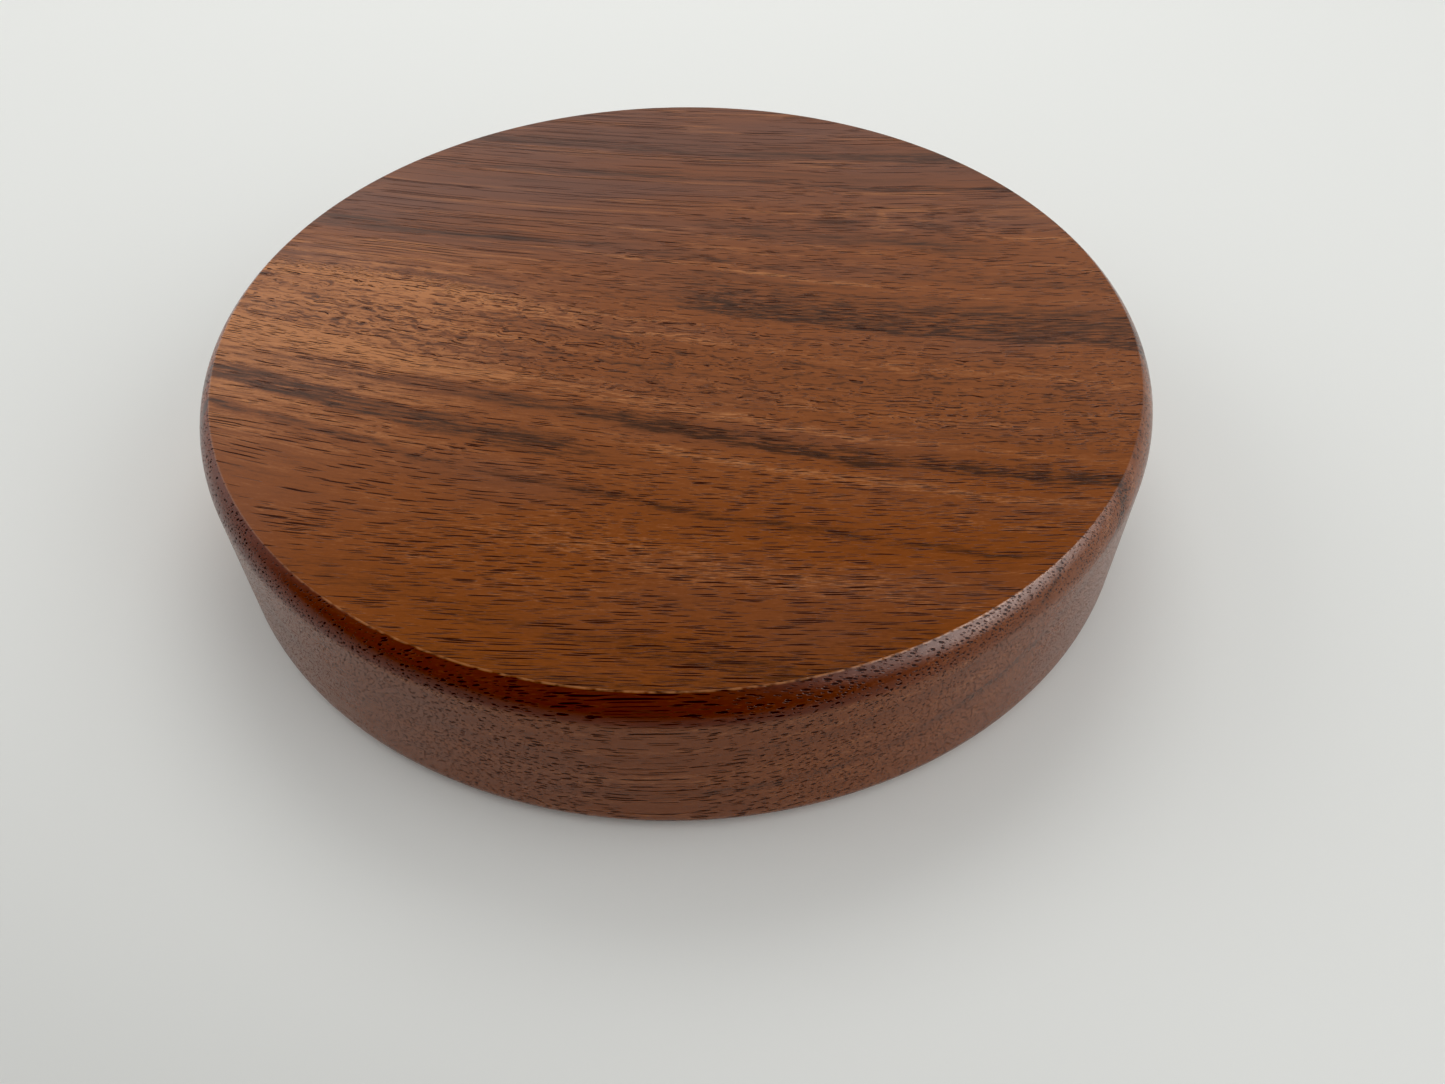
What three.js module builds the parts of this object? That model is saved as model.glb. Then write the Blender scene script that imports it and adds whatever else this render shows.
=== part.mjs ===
// A turned walnut dealer button: one solid disc with a rounded top edge and an eased bottom edge.
//
// Millimetres, +Z up. The origin is the centre of the flat underside, so the button stands on
// z = 0 and is symmetric about the Z axis. The wood's grain runs along X. The top was sanded flat
// after its edge was rounded, so the round meets the top face in a crisp crease.

import * as THREE from 'three';

// Driving dimensions.
const DIAMETER = 101.6; // 4 inches
const THICKNESS = 19.05; // a 3/4 inch board
const TOP_EDGE_RADIUS = 4;
const TOP_EDGE_SWEEP = THREE.MathUtils.degToRad(55); // from the side up to the crease
const BOTTOM_EDGE_RADIUS = 2; // so that the button slides on felt

// How finely the round stretches are divided.
const STEPS_AROUND = 180;
const TOP_EDGE_STEPS = 8;
const BOTTOM_EDGE_STEPS = 4;

const WALNUT_COLOUR = 0x6b3f26;
const SATIN_FINISH = 0.35;

const QUARTER_TURN = Math.PI / 2;

// Points along an arc that turns anticlockwise from startAngle through the angle sweep.
function arcPoints(centreX, centreY, radius, startAngle, sweep, steps) {
  const endAngle = startAngle + sweep;
  const arc = new THREE.EllipseCurve(centreX, centreY, radius, radius, startAngle, endAngle);
  return arc.getPoints(steps);
}

// Half of the disc's cross-section, from the centre of the underside, round the outside, to the
// centre of the top face. x is the distance from the axis and y is the height.
function discProfile() {
  const radius = DIAMETER / 2;
  const bottomEdge = arcPoints(
    radius - BOTTOM_EDGE_RADIUS,
    BOTTOM_EDGE_RADIUS,
    BOTTOM_EDGE_RADIUS,
    -QUARTER_TURN,
    QUARTER_TURN,
    BOTTOM_EDGE_STEPS,
  );
  const topEdge = arcPoints(
    radius - TOP_EDGE_RADIUS,
    THICKNESS - TOP_EDGE_RADIUS * Math.sin(TOP_EDGE_SWEEP),
    TOP_EDGE_RADIUS,
    0,
    TOP_EDGE_SWEEP,
    TOP_EDGE_STEPS,
  );
  const undersideCentre = new THREE.Vector2(0, 0);
  const topCentre = new THREE.Vector2(0, THICKNESS);
  return [undersideCentre, ...bottomEdge, ...topEdge, topCentre];
}

// The whole button, turned from a single piece of walnut.
function walnutDisc() {
  const geometry = new THREE.LatheGeometry(discProfile(), STEPS_AROUND);
  geometry.rotateX(QUARTER_TURN); // a lathe turns about Y, and the button's axis is Z
  const walnut = new THREE.MeshStandardMaterial({
    color: WALNUT_COLOUR,
    roughness: SATIN_FINISH,
    metalness: 0,
  });
  const disc = new THREE.Mesh(geometry, walnut);
  disc.name = 'walnut_disc';
  return disc;
}

const dealerButton = new THREE.Group();
dealerButton.add(walnutDisc());

export default dealerButton;
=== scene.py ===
"""A walnut dealer button on a pale sheet, under soft window light.

Blender units are metres. The button stands on z = 0 with its axis on Z, and its wood grain runs
along X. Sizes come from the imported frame; the small ones are written in millimetres as n * MM.
"""

import math

import bmesh
import bpy
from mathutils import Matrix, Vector


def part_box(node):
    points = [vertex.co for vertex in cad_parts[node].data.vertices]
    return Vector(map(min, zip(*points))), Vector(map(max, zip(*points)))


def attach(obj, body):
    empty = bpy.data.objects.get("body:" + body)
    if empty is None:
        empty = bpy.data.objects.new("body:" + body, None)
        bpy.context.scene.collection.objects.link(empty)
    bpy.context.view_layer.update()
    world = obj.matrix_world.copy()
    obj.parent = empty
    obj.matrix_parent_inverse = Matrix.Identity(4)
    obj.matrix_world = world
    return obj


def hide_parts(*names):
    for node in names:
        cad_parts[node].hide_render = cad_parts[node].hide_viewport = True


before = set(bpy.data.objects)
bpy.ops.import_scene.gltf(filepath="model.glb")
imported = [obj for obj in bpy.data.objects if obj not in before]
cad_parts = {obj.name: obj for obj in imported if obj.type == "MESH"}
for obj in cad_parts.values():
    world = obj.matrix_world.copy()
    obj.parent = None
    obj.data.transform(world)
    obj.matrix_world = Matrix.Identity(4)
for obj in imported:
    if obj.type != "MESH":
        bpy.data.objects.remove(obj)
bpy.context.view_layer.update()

MM = 0.001
LOW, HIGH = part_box("walnut_disc")
RADIUS = (HIGH.x - LOW.x) / 2
THICKNESS = HIGH.z - LOW.z
TOP_EDGE_RADIUS = 4.0 * MM
TOP_EDGE_SWEEP = math.radians(55)
CREASE_RADIUS = 0.25 * MM
BOTTOM_EDGE_RADIUS = 2.0 * MM


# ---------------------------------------------------------------- shader arithmetic


class Signal:
    """A shader output that can be used in ordinary arithmetic."""

    def __init__(self, tree, socket):
        self.tree = tree
        self.socket = socket

    def math(self, operation, *others):
        node = self.tree.nodes.new("ShaderNodeMath")
        node.operation = operation
        for slot, value in zip(node.inputs, (self, *others)):
            plug(slot, value)
        return Signal(self.tree, node.outputs["Value"])

    def __add__(self, other):
        return self.math("ADD", other)

    def __sub__(self, other):
        return self.math("SUBTRACT", other)

    def __mul__(self, other):
        return self.math("MULTIPLY", other)

    def __rsub__(self, other):
        return self * -1.0 + other

    def __neg__(self):
        return self * -1.0

    def at_least(self, limit):
        return self.math("MAXIMUM", limit)

    def at_most(self, limit):
        return self.math("MINIMUM", limit)

    def rise(self, start, end):
        """0 before start, 1 after end and a smooth step between them."""
        node = self.tree.nodes.new("ShaderNodeMapRange")
        node.interpolation_type = "SMOOTHSTEP"
        plug(node.inputs["Value"], self)
        plug(node.inputs["From Min"], start)
        plug(node.inputs["From Max"], end)
        return Signal(self.tree, node.outputs["Result"])


def plug(slot, value):
    """Gives a shader input a fixed value or joins a signal to it."""
    if isinstance(value, Signal):
        value.tree.links.new(value.socket, slot)
    else:
        slot.default_value = value


def vector(x, y, z):
    """A vector signal from three number signals."""
    node = x.tree.nodes.new("ShaderNodeCombineXYZ")
    for slot, value in zip(node.inputs, (x, y, z)):
        plug(slot, value)
    return Signal(x.tree, node.outputs["Vector"])


def cloud(place, detail=2.0, roughness=0.5):
    """Soft noise between about -1 and 1, whose features are one unit of place apart."""
    node = place.tree.nodes.new("ShaderNodeTexNoise")
    plug(node.inputs["Vector"], place)
    plug(node.inputs["Scale"], 1.0)
    plug(node.inputs["Detail"], detail)
    plug(node.inputs["Roughness"], roughness)
    return Signal(place.tree, node.outputs["Fac"]) * 2.0 - 1.0


def blend_colour(share, first, second, kind="MIX"):
    """first where share is 0 and second, or the two multiplied, where it is 1."""
    node = share.tree.nodes.new("ShaderNodeMix")
    node.data_type = "RGBA"
    node.blend_type = kind
    # The node's number, vector and colour sockets share their names, so these go by index.
    colour_a = 6
    colour_b = 7
    colour_out = 2
    plug(node.inputs["Factor"], share)
    plug(node.inputs[colour_a], first)
    plug(node.inputs[colour_b], second)
    return Signal(share.tree, node.outputs[colour_out])


def new_material(name):
    """A plain material with its node tree and its Principled shader."""
    material = bpy.data.materials.new(name)
    material.use_nodes = True
    shader = material.node_tree.nodes["Principled BSDF"]
    return material, material.node_tree, shader


def coordinates(tree, output):
    """The x, y and z signals of a texture coordinate output, such as Object."""
    node = tree.nodes.new("ShaderNodeTexCoord")
    split = tree.nodes.new("ShaderNodeSeparateXYZ")
    tree.links.new(node.outputs[output], split.inputs["Vector"])
    return [Signal(tree, part) for part in split.outputs]


# ---------------------------------------------------------------- the walnut

# Colours of the finished wood, and tints that the edge and the side multiply them by. The edge's
# tint is its darker oil and painted shade.
MAIN_WOOD = (0.245, 0.072, 0.017, 1.0)
ORANGE_WOOD = (0.225, 0.058, 0.008, 1.0)
GOLDEN_WOOD = (0.480, 0.185, 0.062, 1.0)
PURPLE_WOOD = (0.168, 0.064, 0.035, 1.0)
DARK_WOOD = (0.060, 0.022, 0.009, 1.0)
PORE_WOOD = (0.028, 0.004, 0.001, 1.0)
EDGE_OIL_AND_SHADE_TINT = (0.56, 0.33, 0.28, 1.0)
SIDE_TINT = (0.84, 0.80, 0.84, 1.0)

# The stripes that the growth rings make on the top face. Each one is
# (place, width, tone, left end, right end) in millimetres: place is where its front edge crosses
# the middle of the face, measured towards the back, width is how far it fades towards the back,
# and tone, which has no unit, is how dark (below 0) or pale (above 0) it is.
STRIPES = (
    (36.5, 5.0, -0.50, -60, 60),
    (30.0, 1.8, -0.70, -34, 60),
    (18.0, 6.0, -0.35, 4, 36),
    (13.0, 5.0, -0.35, 16, 60),
    (12.0, 2.0, -0.50, -26, 16),
    (11.0, 8.0, -0.50, -60, -18),
    (10.5, 2.0, 0.20, -4, 60),
    (2.6, 9.0, -0.80, 0, 60),
    (-4.0, 3.5, 0.30, -60, 60),
    (-15.5, 2.5, 0.30, -60, 46),
    (-18.8, 3.6, -0.45, -44, 60),
    (-18.6, 3.2, -0.50, -6, 60),
    (-22.0, 2.5, 0.20, -60, 60),
    (-25.0, 6.0, -0.60, -50, -8),
    (-29.2, 1.5, -0.60, -60, 40),
    (-37.0, 6.0, 0.12, -34, 30),
    (-47.0, 4.0, -0.20, -60, 12),
)


def ring_depth(place):
    """How deep, in millimetres, the ring that meets the top face at place would lie at its middle.

    The rings rise towards the back of the face at 7 in 10, and flatten out towards the front.
    place is a number or a signal.
    """
    slope = 0.7
    flattening = 0.00625
    bend_starts = -10.0
    if isinstance(place, Signal):
        in_front = (bend_starts - place).at_least(0.0)
    else:
        in_front = max(bend_starts - place, 0.0)
    return place * slope + in_front * in_front * flattening


def ring_slope(place):
    """How fast ring_depth changes at place."""
    step = 0.01
    return (ring_depth(place + step) - ring_depth(place)) / step


class Block:
    """Where a point lies in the block that the button was cut from, as signals in millimetres.

    down is how far below the top face it lies, across counts over the fibres, and depth counts
    through the growth rings. fibre_across and fibre_depth are the same two with the fibres'
    curls, and stay the same along a fibre. back, front, below and curly have no unit, and go up
    to 1 at the back, at the front, on the side and in the curly zone.
    """

    def __init__(self, tree):
        x, y, z = (place * (1.0 / MM) for place in coordinates(tree, "Object"))
        self.x = x
        self.y = y
        self.z = z
        self.down = THICKNESS / MM - z
        self.back = y.rise(5.0, 30.0)
        self.front = 1.0 - y.rise(-34.0, -14.0)
        self.below = self.down.rise(1.0, 4.0)

        # On the top face the rings and the fibres run towards the front at their right end. The
        # rings do so less at the back, and the fibres less at the front.
        ring_slant = 0.29
        fibre_slant = 0.13
        bend = 0.0017
        ring_fall = x * ring_slant - x * x * bend
        fibre_fall = x * fibre_slant - x * x * bend
        waves = cloud(vector(x * 0.03, y * 0.06, z * 0.06), 1.0)
        ring_place = y + ring_fall * (1.0 - self.back * 0.45) + waves * 1.2
        ripples = cloud(vector(x * 0.12, y * 0.4, z * 0.4), 1.0)
        self.depth = ring_depth(ring_place) + self.down + ripples * (0.3 - self.front * 0.2)
        self.across = y + fibre_fall * (1.0 - self.front * 0.55) + ripples * 0.12

        # A zone across the middle has curly fibres.
        self.curly = ring_place.rise(-17.0, -11.0) * (1.0 - ring_place.rise(-3.0, 6.0))
        curl = self.curly * 0.5 + self.below * 0.10 + 0.03
        curl_x = x * 0.45
        curl_y = y * 0.8
        curl_z = z * 0.8
        elsewhere = 40.0
        bends_down = cloud(vector(curl_x, curl_y, curl_z), 1.0)
        bends_across = cloud(vector(curl_x + elsewhere, curl_y, curl_z), 1.0)
        self.fibre_depth = self.depth + bends_down * curl
        self.fibre_across = self.across + bends_across * curl

    def along(self, reach, grain_width, detail, roughness):
        """Noise in features about reach long and grain_width wide that run with the fibres."""
        place = vector(
            self.x * (1.0 / reach),
            self.fibre_across * (1.0 / grain_width),
            self.fibre_depth * (1.0 / grain_width),
        )
        return cloud(place, detail, roughness)

    def layers(self):
        """Soft light and dark growth layers."""
        place = vector(self.x * 0.014, self.across * 0.05, self.depth * 0.75)
        return cloud(place, 3.0, 0.6)


def growth_stripes(block):
    """The sum of the stripes' tones, broken up into streaks and fainter on the side."""
    edge_blur = 0.35
    end_blur = 6.0
    solid_share = 0.25
    wander = cloud(vector(block.x * 0.12, block.across * 0.9, block.depth * 0.9), 3.0, 0.6)
    total = None
    for place, width, tone, left, right in STRIPES:
        slope = ring_slope(place)
        behind = block.depth - ring_depth(place) + wander * slope
        begun = behind.rise(-edge_blur * slope, edge_blur * slope)
        faded = behind.rise(solid_share * width * slope, width * slope)
        within_left = block.x.rise(left - end_blur, left + end_blur)
        past_right = block.x.rise(right - end_blur, right + end_blur)
        stripe = begun * (1.0 - faded) * tone * within_left * (1.0 - past_right)
        total = stripe if total is None else total + stripe
    streaked = block.along(5.0, 0.28, 2.0, 0.6).rise(-0.3, 0.3) * 1.2 + 0.4
    return total * streaked * (1.0 - block.below * 0.6)


def flecks(block):
    """Up to 1 in the short dark flecks of the curly zone."""
    spots = block.along(2.0, 0.48, 1.0, 0.5)
    return (-spots).rise(0.05, 0.30) * block.curly


def knot(block):
    """The tone of a pin knot: a small pale fleck between two dark patches."""
    centre_x = 25.0
    centre_y = 18.0
    patch_distance = 5.5
    slant = 0.12
    right = block.x - centre_x
    back = block.y - centre_y
    patch_x = (right.math("ABSOLUTE") - patch_distance) * 0.22
    patch_y = (back + right * slant) * 0.6
    patches = 1.0 - (patch_x * patch_x + patch_y * patch_y).rise(0.0, 1.0)
    fleck_x = right * 1.1
    fleck_y = (back - 1.6) * 0.45
    fleck = 1.0 - (fleck_x * fleck_x + fleck_y * fleck_y).rise(0.1, 1.0)
    near_top = 1.0 - block.down.rise(0.0, 3.0)
    return (fleck * 0.25 - patches * 0.75) * near_top


def front_shade(block):
    """Up to 1 where the top face darkens towards its front rim."""
    return (-block.y).rise(37.0, 50.0) * (1.0 - block.down.rise(0.0, 0.5))


def wood_tone(block, layers):
    """How pale (above 0) or dark (below 0) the wood is, without its pores.

    Each kind of grain counts more in the parts of the face where it shows more.
    """
    behind_middle = block.y.rise(-6.0, 10.0)
    lines = block.along(22.0, 1.0, 2.0, 0.6)
    streaks = block.along(7.0, 0.5, 2.0, 0.6)
    hairs = block.along(1.6, 0.12, 1.0, 0.6)
    speckle = cloud(vector(block.x * 2.5, block.y * 4.0, block.z * 4.0), 2.0, 0.7)
    tone = growth_stripes(block) + knot(block) - flecks(block) * 0.60
    tone = tone + layers * (0.85 - block.front * 0.45 + block.below * 0.40)
    tone = tone + lines * (behind_middle * 0.55 + 0.15)
    tone = tone + streaks * (0.70 - block.front * 0.30 - block.back * 0.35)
    tone = tone + hairs * (block.front * 0.38 + 0.35 - block.back * 0.20)
    tone = tone + speckle * (0.28 - behind_middle * 0.12)
    return tone - front_shade(block) * 0.5


def vessels(block, spacing, share):
    """1 inside the wood's open vessels: long tubes that follow the fibres.

    A vessel is a spot in the plane of fibre_across and fibre_depth, and shows as a streak
    wherever a face cuts it at a small angle. spacing is the millimetres between them, and share
    is how many of the places hold one. Their radius is a share of the spacing.
    """
    depth_share = 0.7
    tree = block.x.tree
    node = tree.nodes.new("ShaderNodeTexVoronoi")
    node.voronoi_dimensions = "2D"
    across = block.fibre_across * (1.0 / spacing)
    depth = block.fibre_depth * (depth_share / spacing)
    plug(node.inputs["Vector"], vector(across, depth, 0.0))
    plug(node.inputs["Scale"], 1.0)
    distance = Signal(tree, node.outputs["Distance"])
    split = tree.nodes.new("ShaderNodeSeparateColor")
    tree.links.new(node.outputs["Color"], split.inputs["Color"])
    chance = Signal(tree, split.outputs["Red"])
    size = Signal(tree, split.outputs["Green"])
    radius = size * 0.15 + 0.12 - block.below * 0.03
    inside = 1.0 - (distance - radius).rise(-0.06, 0.04)
    return inside * (share - chance).rise(-0.05, 0.05)


def pores(block, layers):
    """1 inside a large pore and nearly 1 inside a small one. The paler layers have more."""
    large_spacing = 0.31
    small_spacing = 0.20
    share = layers * 1.3 + block.front * 0.22 + block.below * 0.15 + 0.54
    large = vessels(block, large_spacing, share)
    small = vessels(block, small_spacing, share)
    return (large + small * 0.8).at_most(1.0)


def golden_area(block):
    """1 in the paler, golden wood at the left of the face."""
    at_left = 1.0 - block.x.rise(-36.0, -6.0)
    midway = block.y.rise(-26.0, -2.0) * (1.0 - block.y.rise(4.0, 26.0))
    return at_left * midway


def edge_oil_and_shade(block):
    """Up to 1 on the rounded top edge: a little all round, where its oil is darker, and more as
    painted shade towards the front, which faces away from the light.
    """
    on_edge = block.down.rise(0.03, 0.08) * (1.0 - block.down.rise(2.4, 3.1))
    towards_front = (block.x * -0.8 - block.y) * (MM / RADIUS)
    # A little darker oil all round, and painted shade that grows towards the front.
    return on_edge * (towards_front.rise(0.2, 0.95) * 0.85 + 0.15)


def crease_highlight(block):
    """Up to 1 on the thin line round the front of the top face, a painted highlight where the
    crease catches the light.
    """
    line = block.down.rise(0.003, 0.015) * (1.0 - block.down.rise(0.06, 0.14))
    broken = cloud(vector(block.x, block.y, block.z), 1.0).rise(-0.3, 0.2)
    # Painted highlight, broken up, only along the front.
    return line * broken * (1.0 - block.y.rise(-42.0, -30.0))


def wood_colour(block, tone, pore, edge_darkness):
    """The wood's colour from its tone, its pores, the darker oil and painted shade on its edge,
    and the painted highlight on its crease.

    The front is more orange, the back and some soft patches more purple.
    """
    patches = cloud(vector(block.x * 0.04, block.across * 0.12, block.depth * 0.15), 1.0)
    main = blend_colour(block.front, MAIN_WOOD, ORANGE_WOOD)
    main = blend_colour(block.back * 0.8 + patches * 0.8, main, PURPLE_WOOD)
    lightness = tone + golden_area(block) * 0.75
    colour = blend_colour(lightness.rise(0.0, 1.1), main, GOLDEN_WOOD)
    colour = blend_colour((-tone).rise(0.0, 1.3), colour, DARK_WOOD)
    colour = blend_colour(pore * 0.95, colour, PORE_WOOD)
    colour = blend_colour(block.below, colour, SIDE_TINT, "MULTIPLY")
    # The rounded edge: darker oil, and painted shade deepest in front.
    colour = blend_colour(edge_darkness, colour, EDGE_OIL_AND_SHADE_TINT, "MULTIPLY")
    # A painted highlight: the pale line where the crease catches the light.
    return blend_colour(crease_highlight(block) * 0.7, colour, GOLDEN_WOOD)


def walnut():
    """Oiled black walnut, cut from a solid block: every face shows the same rings and pores."""
    material, tree, shader = new_material("walnut")
    block = Block(tree)
    layers = block.layers()
    tone = wood_tone(block, layers)
    pore = pores(block, layers)
    # Darker oil and painted shade on the rounded top edge.
    edge_darkness = edge_oil_and_shade(block)
    oil_roughness = 0.25
    oil_shine = 0.32
    pore_depth = 0.03 * MM
    plug(shader.inputs["Base Color"], wood_colour(block, tone, pore, edge_darkness))
    plug(shader.inputs["Roughness"], pore * 0.25 + tone * 0.02 + oil_roughness)
    plug(shader.inputs["IOR"], 1.5)
    plug(shader.inputs["Specular IOR Level"], oil_shine - pore * 0.22 - edge_darkness * 0.06)

    bump = tree.nodes.new("ShaderNodeBump")
    plug(bump.inputs["Strength"], 1.0)
    plug(bump.inputs["Distance"], pore_depth)
    plug(bump.inputs["Height"], tone * 0.03 - pore)
    tree.links.new(bump.outputs["Normal"], shader.inputs["Normal"])
    return material


# ---------------------------------------------------------------- the button


def arc(centre, radius, start, end, steps):
    """Points along an arc between two angles in radians, both ends included."""
    points = []
    for step in range(steps + 1):
        angle = start + (end - start) * step / steps
        distance = centre[0] + radius * math.cos(angle)
        points.append((distance, centre[1] + radius * math.sin(angle)))
    return points


def top_edge():
    """The rounded top edge: an arc up from the side, and a tight one that softens the crease
    where the round meets the flat top."""
    round_steps = 16
    crease_steps = 5
    quarter_turn = math.pi / 2
    height = THICKNESS - TOP_EDGE_RADIUS * math.sin(TOP_EDGE_SWEEP)
    centre = (RADIUS - TOP_EDGE_RADIUS, height)
    between_centres = TOP_EDGE_RADIUS - CREASE_RADIUS
    meeting = math.asin((THICKNESS - CREASE_RADIUS - height) / between_centres)
    crease = (centre[0] + between_centres * math.cos(meeting), THICKNESS - CREASE_RADIUS)
    round_part = arc(centre, TOP_EDGE_RADIUS, 0, meeting, round_steps)
    crease_part = arc(crease, CREASE_RADIUS, meeting, quarter_turn, crease_steps)
    return round_part + crease_part[1:]


def flat_rings(radius, height):
    """Evenly spaced rings across a flat face, from its centre to a little inside its rim."""
    steps = 40
    margin = 0.1 * MM
    reach = radius - margin
    return [(reach * step / steps, height) for step in range(steps + 1)]


def disc_profile():
    """(distance from the axis, height) of the cross-section, from the underside's centre round
    to the top face's centre."""
    bottom_steps = 8
    side_steps = 14
    bottom_centre = (RADIUS - BOTTOM_EDGE_RADIUS, BOTTOM_EDGE_RADIUS)
    bottom_edge = arc(bottom_centre, BOTTOM_EDGE_RADIUS, -math.pi / 2, 0, bottom_steps)
    rounded = top_edge()
    rise = rounded[0][1] - BOTTOM_EDGE_RADIUS
    side = []
    for step in range(1, side_steps):
        side.append((RADIUS, BOTTOM_EDGE_RADIUS + rise * step / side_steps))
    underside = flat_rings(bottom_edge[0][0], 0.0)
    top = flat_rings(rounded[-1][0], THICKNESS)
    return underside + bottom_edge + side + rounded + top[::-1]


def turned_disc(name, segments=360):
    """The button's mesh, turned about Z from its profile."""
    body = bmesh.new()
    profile = disc_profile()
    bottom_centre = body.verts.new((0, 0, profile[0][1]))
    top_centre = body.verts.new((0, 0, profile[-1][1]))
    rings = []
    for distance, height in profile[1:-1]:
        ring = []
        for segment in range(segments):
            angle = math.tau * segment / segments
            place = (distance * math.cos(angle), distance * math.sin(angle), height)
            ring.append(body.verts.new(place))
        rings.append(ring)
    for segment in range(segments):
        following = (segment + 1) % segments
        body.faces.new((bottom_centre, rings[0][following], rings[0][segment]))
        body.faces.new((top_centre, rings[-1][segment], rings[-1][following]))
        for lower, upper in zip(rings, rings[1:]):
            corners = (lower[segment], lower[following], upper[following], upper[segment])
            body.faces.new(corners)
    mesh = bpy.data.meshes.new(name)
    body.to_mesh(mesh)
    body.free()
    mesh.shade_smooth()
    piece = bpy.data.objects.new(name, mesh)
    bpy.context.scene.collection.objects.link(piece)
    return piece


button = turned_disc("turned_walnut_disc")
button.data.materials.append(walnut())
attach(button, "root")
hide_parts("walnut_disc")


# ---------------------------------------------------------------- the stage


def direction(azimuth, elevation):
    """A unit vector: azimuth 0 is straight back (+Y) and 90 is right (+X), both in degrees."""
    turn = math.radians(azimuth)
    lift = math.radians(elevation)
    level = math.cos(lift)
    return Vector((math.sin(turn) * level, math.cos(turn) * level, math.sin(lift)))


def paper_floor():
    """A wide pale sheet, darker towards the front left, where the photographer shades it.

    All but the camera see it end in dark space in front, which shows in the wood's finish.
    """
    reach = 40 * RADIUS
    sheet_end = 2.3 * RADIUS
    body = bmesh.new()
    corners = [(-reach, -reach), (reach, -reach), (reach, reach), (-reach, reach)]
    body.faces.new([body.verts.new((x, y, 0.0)) for x, y in corners])
    mesh = bpy.data.meshes.new("paper_floor")
    body.to_mesh(mesh)
    body.free()
    floor = bpy.data.objects.new("paper_floor", mesh)
    bpy.context.scene.collection.objects.link(floor)
    material, tree, shader = new_material("paper")
    x, y, _ = coordinates(tree, "Object")
    path = tree.nodes.new("ShaderNodeLightPath")
    seen = Signal(tree, path.outputs["Is Camera Ray"])
    beyond = 1.0 - y.rise(-1.15 * sheet_end, -0.95 * sheet_end)
    towards_photographer = (x * -0.45 - y) * (1.0 / RADIUS)
    paper = (0.875, 0.885, 0.855, 1.0)
    shaded_paper = (0.655, 0.66, 0.635, 1.0)
    dark = (0.06, 0.06, 0.06, 1.0)
    colour = blend_colour(towards_photographer.rise(0.9, 2.6), paper, shaded_paper)
    plug(shader.inputs["Base Color"], blend_colour(beyond * (1.0 - seen), colour, dark))
    plug(shader.inputs["Roughness"], 0.9)
    plug(shader.inputs["Specular IOR Level"], 0.1)
    mesh.materials.append(material)


def window(name, azimuth, elevation, half_width, half_height, brightness, shine):
    """A soft rectangular light that fills the given angles, in degrees, seen from the button.

    brightness is how strongly it lights the scene and shine how bright its reflection is, so
    each window is a pair of lamps.
    """
    far = 12 * RADIUS
    for purpose, strength in (("light", brightness), ("reflection", shine)):
        light = bpy.data.lights.new(f"{name}_{purpose}", "AREA")
        light.shape = "RECTANGLE"
        light.size = 2 * far * math.tan(math.radians(half_width))
        light.size_y = 2 * far * math.tan(math.radians(half_height))
        light.energy = math.pi * light.size * light.size_y * strength
        lamp = bpy.data.objects.new(light.name, light)
        lamp.location = direction(azimuth, elevation) * far
        lamp.rotation_mode = "QUATERNION"
        lamp.rotation_quaternion = lamp.location.to_track_quat("Z", "Y")
        lamp.visible_camera = False
        lamp.visible_diffuse = purpose == "light"
        lamp.visible_glossy = purpose == "reflection"
        bpy.context.scene.collection.objects.link(lamp)


def ceiling_light():
    """A soft light above the back of the sheet, too diffuse to see in the wood's finish."""
    brightness = 2.4
    light = bpy.data.lights.new("ceiling_light", "AREA")
    light.shape = "DISK"
    light.size = 5 * RADIUS
    area = math.pi * (light.size / 2) ** 2
    light.energy = math.pi * area * brightness
    lamp = bpy.data.objects.new("ceiling_light", light)
    lamp.location = Vector((0.3, 4.5, 6.5)) * RADIUS
    lamp.visible_camera = False
    lamp.visible_glossy = False
    bpy.context.scene.collection.objects.link(lamp)


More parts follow.
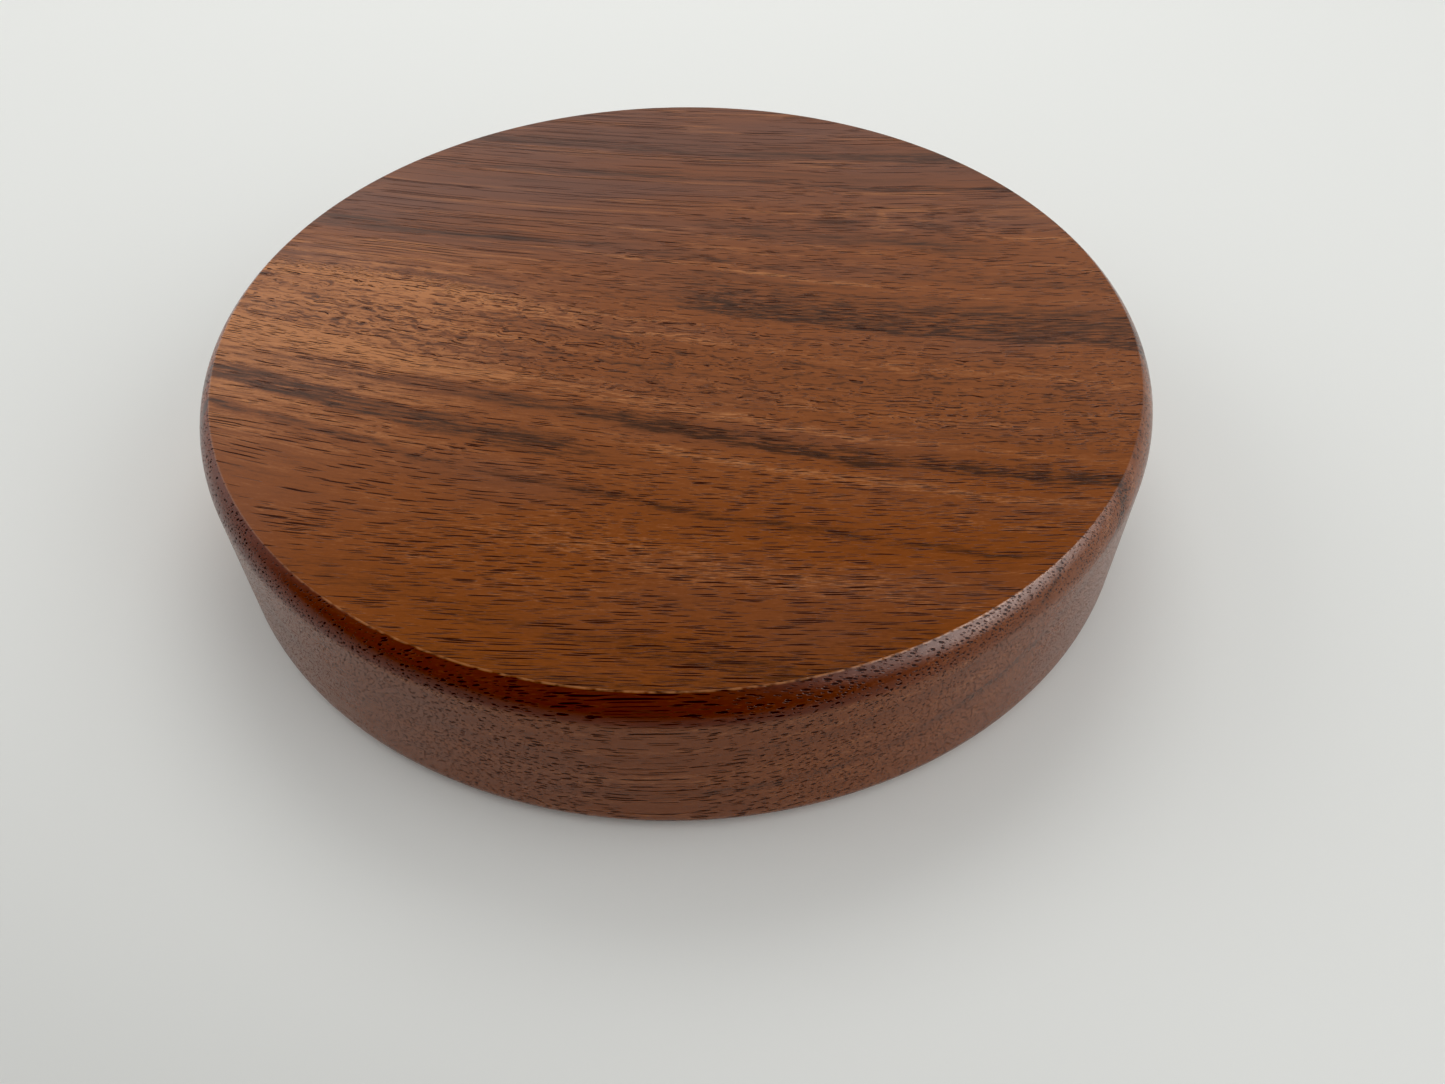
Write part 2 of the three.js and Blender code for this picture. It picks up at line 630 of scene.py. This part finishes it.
def room():
    """The room round the table: soft light from all round, with a lit wall at the back and the
    dark shape of the photographer in front."""
    world = bpy.data.worlds.new("room")
    world.use_nodes = True
    world.cycles.sampling_method = "NONE"
    tree = world.node_tree
    background = tree.nodes["Background"]
    plug(background.inputs["Color"], (1.0, 1.0, 1.0, 1.0))
    right, back, up = coordinates(tree, "Generated")

    # What shows in the wood's finish: a wall, brightest at the left, and a lamp overhead.
    wall = back.rise(-0.15, 0.5) * (1.0 - up.rise(0.58, 0.74))
    lamp = up.rise(0.95, 0.99) * 1.2
    dim_corners = 0.02
    reflected = wall * (1.05 - right.rise(-0.45, 0.05) * 0.50) + lamp + dim_corners
    # What lights the wood and the sheet, from above the horizon.
    photographer = (-back).rise(0.0, 0.8) * (1.0 - up.rise(0.70, 0.95))
    soft_light = (0.52 - photographer * 0.18) * up.rise(-0.05, 0.05)
    # What the camera sees past the sheet's far edge.
    backdrop = 0.74
    path = tree.nodes.new("ShaderNodeLightPath")
    seen = Signal(tree, path.outputs["Is Camera Ray"])
    scattered = Signal(tree, path.outputs["Is Diffuse Ray"])
    unseen = reflected * (1.0 - scattered) + soft_light * scattered
    plug(background.inputs["Strength"], unseen * (1.0 - seen) + seen * backdrop)
    bpy.context.scene.world = world


def close_camera():
    """A camera held close over the button, at the photograph's viewing angle.

    Its place, its aim and its lens were fitted to the outline of the button in the photograph.
    """
    place = Vector((0.0, -2.033, 1.868)) * RADIUS
    aim = Vector((0.0795, -0.301, 0.0)) * RADIUS
    lens = bpy.data.cameras.new("camera")
    lens.sensor_width = 36.0
    lens.lens = 28.74
    lens.clip_start = 5 * MM
    camera = bpy.data.objects.new("camera", lens)
    camera.location = place
    camera.rotation_mode = "QUATERNION"
    camera.rotation_quaternion = (aim - place).to_track_quat("-Z", "Y")
    bpy.context.scene.collection.objects.link(camera)
    bpy.context.scene.camera = camera


def picture_tones():
    """Plain tones, with the deepest shadows pulled down to black."""
    black_level = 0.008
    view = bpy.context.scene.view_settings
    view.view_transform = "Standard"
    view.use_curve_mapping = True
    view.curve_mapping.black_level = (black_level, black_level, black_level)
    view.curve_mapping.update()


paper_floor()
window("right_window", 110, 32, half_width=26, half_height=20, brightness=1.25, shine=15.0)
window("left_window", -70, 32, half_width=22, half_height=16, brightness=1.2, shine=3.0)
ceiling_light()
room()
close_camera()
picture_tones()
